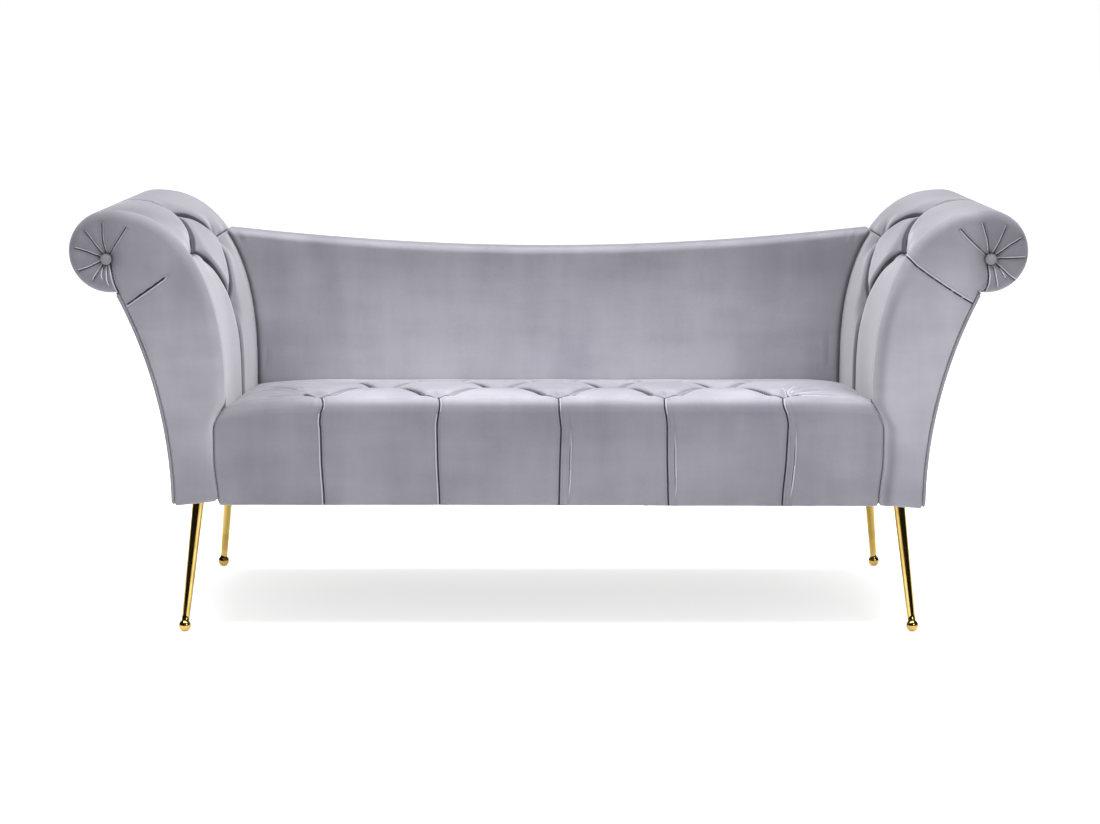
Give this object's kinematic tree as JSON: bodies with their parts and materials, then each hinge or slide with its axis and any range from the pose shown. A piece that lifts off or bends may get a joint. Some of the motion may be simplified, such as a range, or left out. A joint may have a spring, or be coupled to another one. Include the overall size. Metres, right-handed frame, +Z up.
{
  "type": "fainting couch",
  "caption": "Velvet couch with flared scroll arms, a tufted seat, a low dipped back and splayed ball-foot legs.",
  "frame": {"origin": "on the floor, under the middle of the couch", "axes": "+X to the couch's right as seen from the front, +Y to its back, +Z up"},
  "size_m": [1.7, 0.58, 0.763],
  "materials": {
    "velvet": "short-pile velvet, grey lilac",
    "timber": "sawn softwood",
    "plywood": "raw plywood",
    "foam": "open-cell upholstery foam",
    "dust_cloth": "black non-woven cloth",
    "polished_brass": "polished brass plating",
    "spring_steel": "oiled spring wire",
    "zinc_steel": "zinc-plated steel"
  },
  "bodies": {
    "root": {"back_bottom_rail": "timber", "back_pad": "velvet", "back_rear_cover": "velvet", "back_top_rail": "timber", "back_upright_centre": "timber", "back_upright_left": "timber", "back_upright_right": "timber", "front_left_leg": "polished_brass", "front_left_leg_plate": "zinc_steel", "front_right_leg": "polished_brass", "front_right_leg_plate": "zinc_steel", "left_arm_base_rail": "timber", "left_arm_bent_panel": "plywood", "left_arm_bolt_front": "zinc_steel", "left_arm_bolt_rear": "zinc_steel", "left_arm_front_button": "velvet", "left_arm_front_facing": "velvet", "left_arm_front_former": "plywood", "left_arm_front_piping": "velvet", "left_arm_outer_cover": "velvet", "left_arm_pad": "velvet", "left_arm_rear_button": "velvet", "left_arm_rear_facing": "velvet", "left_arm_rear_former": "plywood", "left_arm_rear_piping": "velvet", "left_arm_roll_batten": "timber", "rear_left_leg": "polished_brass", "rear_left_leg_plate": "zinc_steel", "rear_right_leg": "polished_brass", "rear_right_leg_plate": "zinc_steel", "right_arm_base_rail": "timber", "right_arm_bent_panel": "plywood", "right_arm_bolt_front": "zinc_steel", "right_arm_bolt_rear": "zinc_steel", "right_arm_front_button": "velvet", "right_arm_front_facing": "velvet", "right_arm_front_former": "plywood", "right_arm_front_piping": "velvet", "right_arm_outer_cover": "velvet", "right_arm_pad": "velvet", "right_arm_rear_button": "velvet", "right_arm_rear_facing": "velvet", "right_arm_rear_former": "plywood", "right_arm_rear_piping": "velvet", "right_arm_roll_batten": "timber", "seat_cross_rail_left": "timber", "seat_cross_rail_right": "timber", "seat_dust_cover": "dust_cloth", "seat_end_rail_left": "timber", "seat_end_rail_right": "timber", "seat_foam": "foam", "seat_front_rail": "timber", "seat_pad": "velvet", "seat_rear_rail": "timber", "seat_spring_1": "spring_steel", "seat_spring_2": "spring_steel", "seat_spring_3": "spring_steel", "seat_spring_4": "spring_steel", "seat_spring_5": "spring_steel"}
  },
  "joints": []
}
